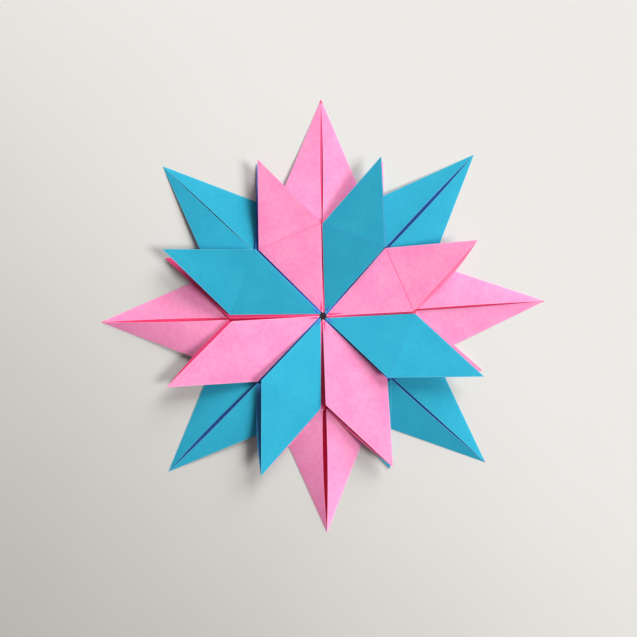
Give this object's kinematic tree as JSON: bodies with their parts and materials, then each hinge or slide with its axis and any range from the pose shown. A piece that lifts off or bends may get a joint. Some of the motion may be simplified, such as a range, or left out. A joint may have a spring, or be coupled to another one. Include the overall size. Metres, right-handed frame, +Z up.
{
  "type": "modular origami star",
  "caption": "Flat pointed star of folded square sheets in two alternating colours, lapped round the centre, each with a slit kite tip and rhombic wings. Paper decoration.",
  "frame": {"origin": "centre of the star's outline, on the surface that its tips rest on", "axes": "+Z up out of the front of the star, +X towards the east unit and +Y towards the north unit"},
  "size_m": [0.1519, 0.152, 0.0067],
  "materials": {
    "pink_paper": "matt uncoated paper, pink on both sides",
    "blue_paper": "matt uncoated paper, turquoise blue on both sides"
  },
  "bodies": {
    "root": {"pink_unit_east": "pink_paper", "blue_unit_north_east": "blue_paper", "pink_unit_north": "pink_paper", "blue_unit_north_west": "blue_paper", "pink_unit_west": "pink_paper", "blue_unit_south_west": "blue_paper", "pink_unit_south": "pink_paper", "blue_unit_south_east": "blue_paper"}
  },
  "joints": []
}
